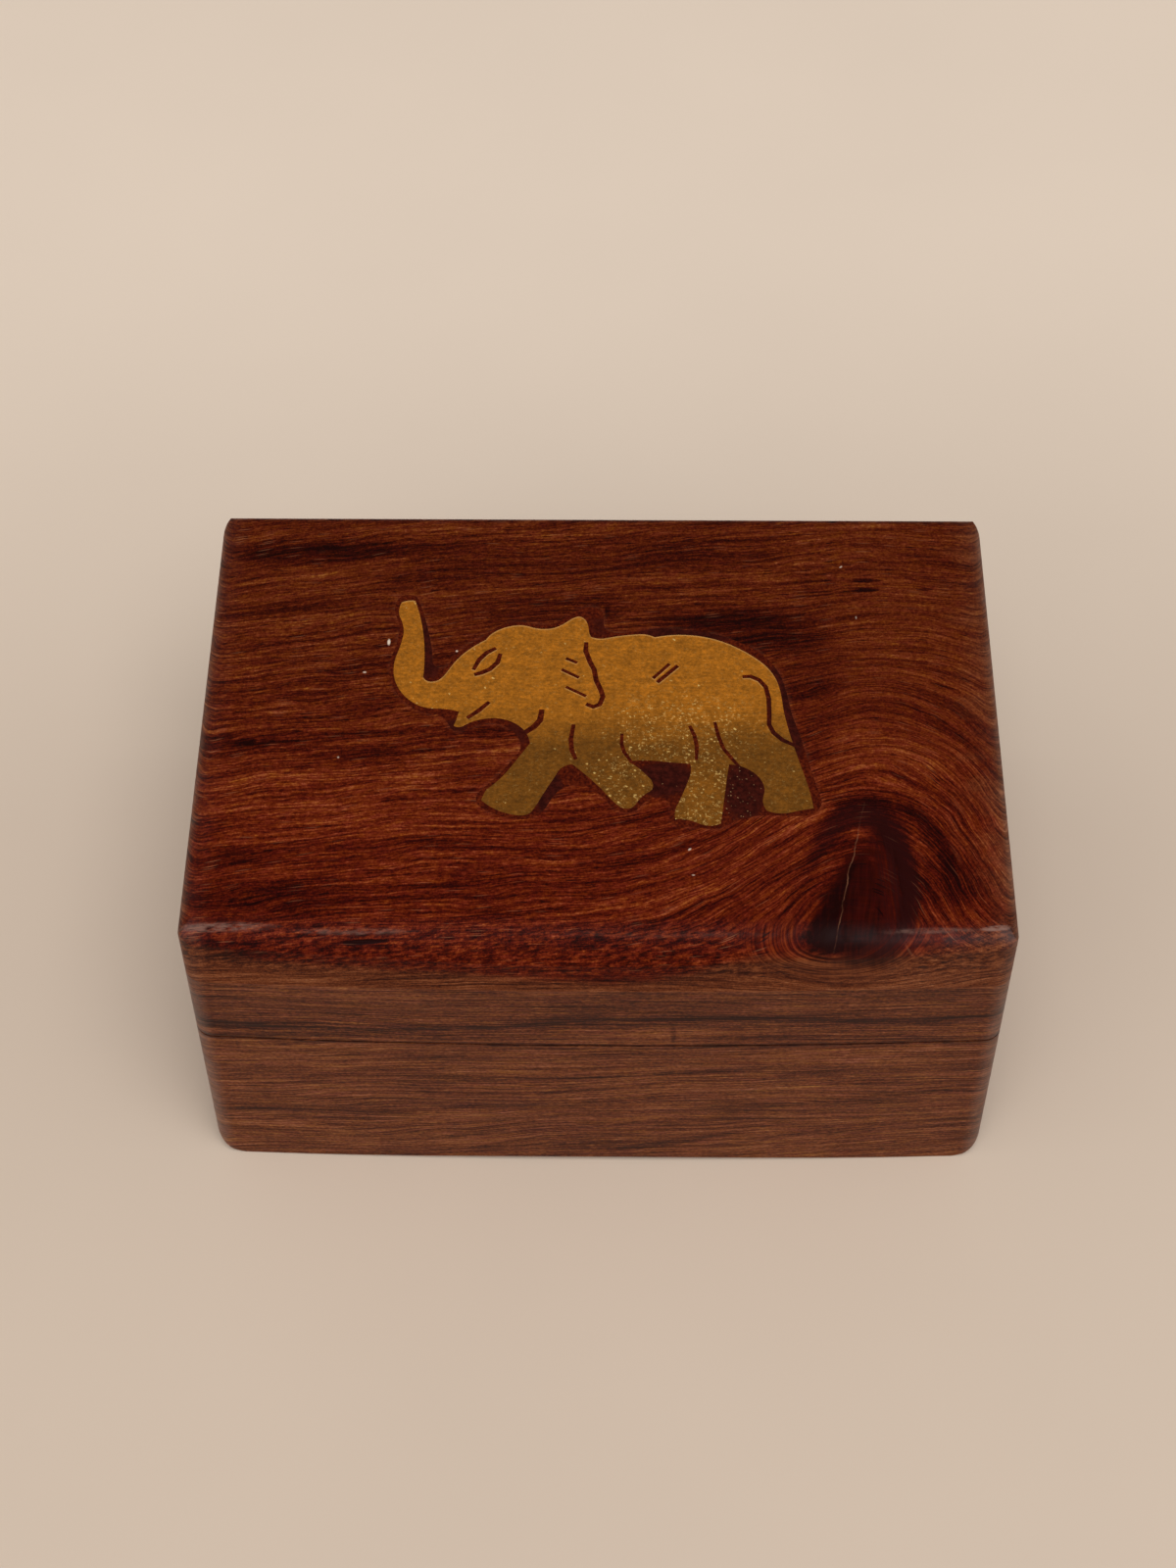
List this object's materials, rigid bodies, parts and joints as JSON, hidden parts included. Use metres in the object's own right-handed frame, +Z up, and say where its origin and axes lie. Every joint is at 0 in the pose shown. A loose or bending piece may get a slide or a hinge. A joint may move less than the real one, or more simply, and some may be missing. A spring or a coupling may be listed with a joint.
{
  "type": "trinket box",
  "caption": "Small rectangular hardwood box with rounded edges, a lid hinged at the back and a flush brass elephant let into the top.",
  "frame": {"origin": "middle of the underside, on the surface the box stands on", "axes": "+X to the right along the length, +Y to the hinged back, +Z up"},
  "size_m": [0.0762, 0.0526, 0.0381],
  "materials": {
    "top_wood": "waxed figured rosewood",
    "lid_wood": "waxed straight-grained rosewood",
    "base_wood": "waxed straight-grained rosewood",
    "end_wood": "waxed rosewood",
    "bottom_wood": "waxed rosewood",
    "inlay_brass": "dull sanded",
    "dark_lac": "dark lac, sanded flush",
    "hinge_brass": "satin",
    "nail_brass": "dull"
  },
  "bodies": {
    "base": {"base_bottom": "bottom_wood", "base_front_board": "base_wood", "base_back_board": "base_wood", "base_left_board": "end_wood", "base_right_board": "end_wood", "hinge_left_base_leaf": "hinge_brass", "hinge_right_base_leaf": "hinge_brass", "hinge_left_pin": "nail_brass", "hinge_right_pin": "nail_brass", "base_hinge_nails": "nail_brass"},
    "lid": {"lid_top": "top_wood", "lid_front_rail": "lid_wood", "lid_back_rail": "lid_wood", "lid_left_rail": "end_wood", "lid_right_rail": "end_wood", "elephant_inlay": "inlay_brass", "lac_bed": "dark_lac", "hinge_left_lid_leaf": "hinge_brass", "hinge_right_lid_leaf": "hinge_brass", "lid_hinge_nails": "nail_brass"}
  },
  "joints": [
    {"name": "lid_hinge", "type": "hinge", "parent": "base", "child": "lid", "pos_m": [0, 0.02525, 0.0216], "axis": [-1, 0, 0], "range_deg": [0, 100]}
  ]
}
